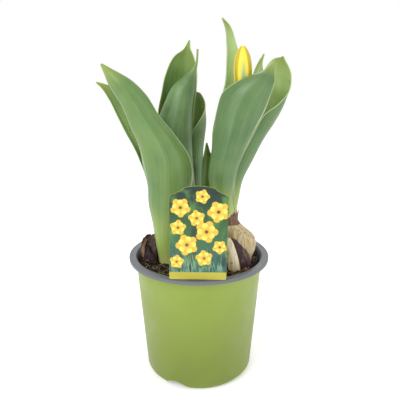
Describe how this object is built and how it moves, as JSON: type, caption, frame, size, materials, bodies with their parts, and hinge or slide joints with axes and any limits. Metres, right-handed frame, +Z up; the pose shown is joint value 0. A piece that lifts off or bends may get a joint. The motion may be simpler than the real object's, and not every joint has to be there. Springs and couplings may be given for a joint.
{
  "type": "potted tulip",
  "caption": "Sprouting tulip bulbs with broad folded leaves and one yellow bud, in a green nursery pot of soil with a plain plant label.",
  "frame": {"origin": "on the pot's upright axis at the level of the surface it stands on", "axes": "+Z up the pot's axis; -Y towards the front, where the label is; +X to the right seen from the front"},
  "size_m": [0.1507, 0.12, 0.2986],
  "materials": {
    "pot_green": "satin moulded plastic",
    "soil": "loose peat and bark",
    "label": "printed plastic card",
    "leaf": "waxy leaf",
    "stem": "waxy stem",
    "bud_yellow": "satin petal",
    "bud_green": "satin petal",
    "bulb_skin": "papery skin",
    "clove": "smooth flesh"
  },
  "bodies": {
    "root": {"pot": "pot_green", "soil": "soil", "label": "label", "leaf_left_front": "leaf", "leaf_left_back": "leaf", "leaf_back_tall": "leaf", "leaf_back_front": "leaf", "leaf_back_right": "leaf", "leaf_side_shoot": "leaf", "leaf_right_front": "leaf", "leaf_right_side": "leaf", "leaf_right_back": "leaf", "leaf_right_tall": "leaf", "stem_right": "stem", "stem_left": "stem", "stem_back": "stem", "bud_right": "bud_yellow", "bud_left": "bud_green", "bud_back": "bud_green", "bulb_left": "bulb_skin", "bulb_right": "clove", "clove_purple": "bulb_skin", "clove_cream": "clove"}
  },
  "joints": []
}
